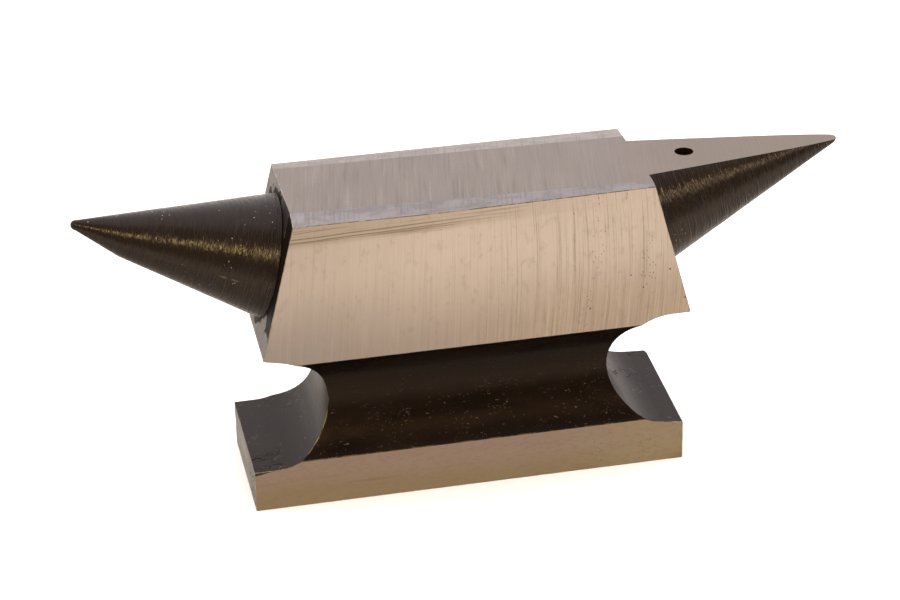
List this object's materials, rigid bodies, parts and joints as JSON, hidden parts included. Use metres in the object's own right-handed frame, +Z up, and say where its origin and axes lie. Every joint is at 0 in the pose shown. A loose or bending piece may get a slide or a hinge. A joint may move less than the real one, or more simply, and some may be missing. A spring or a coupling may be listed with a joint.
{
  "type": "bench anvil",
  "caption": "Small double-horn bench anvil: milled block with base, waist and sloping ends, a round horn and a flat-topped horn with a punching hole.",
  "frame": {"origin": "centre of the flat underside that the anvil stands on", "axes": "+X along the anvil towards the flat-topped horn, -Y towards the front, +Z up out of the work face"},
  "size_m": [0.138, 0.0254, 0.0562],
  "materials": {
    "ground_steel": "ground",
    "black_lacquer": "satin",
    "dowel_steel": "ground"
  },
  "bodies": {
    "root": {"anvil_block": "ground_steel", "round_horn": "black_lacquer", "flat_horn": "black_lacquer", "round_horn_dowel": "dowel_steel", "flat_horn_dowel": "dowel_steel"}
  },
  "joints": []
}
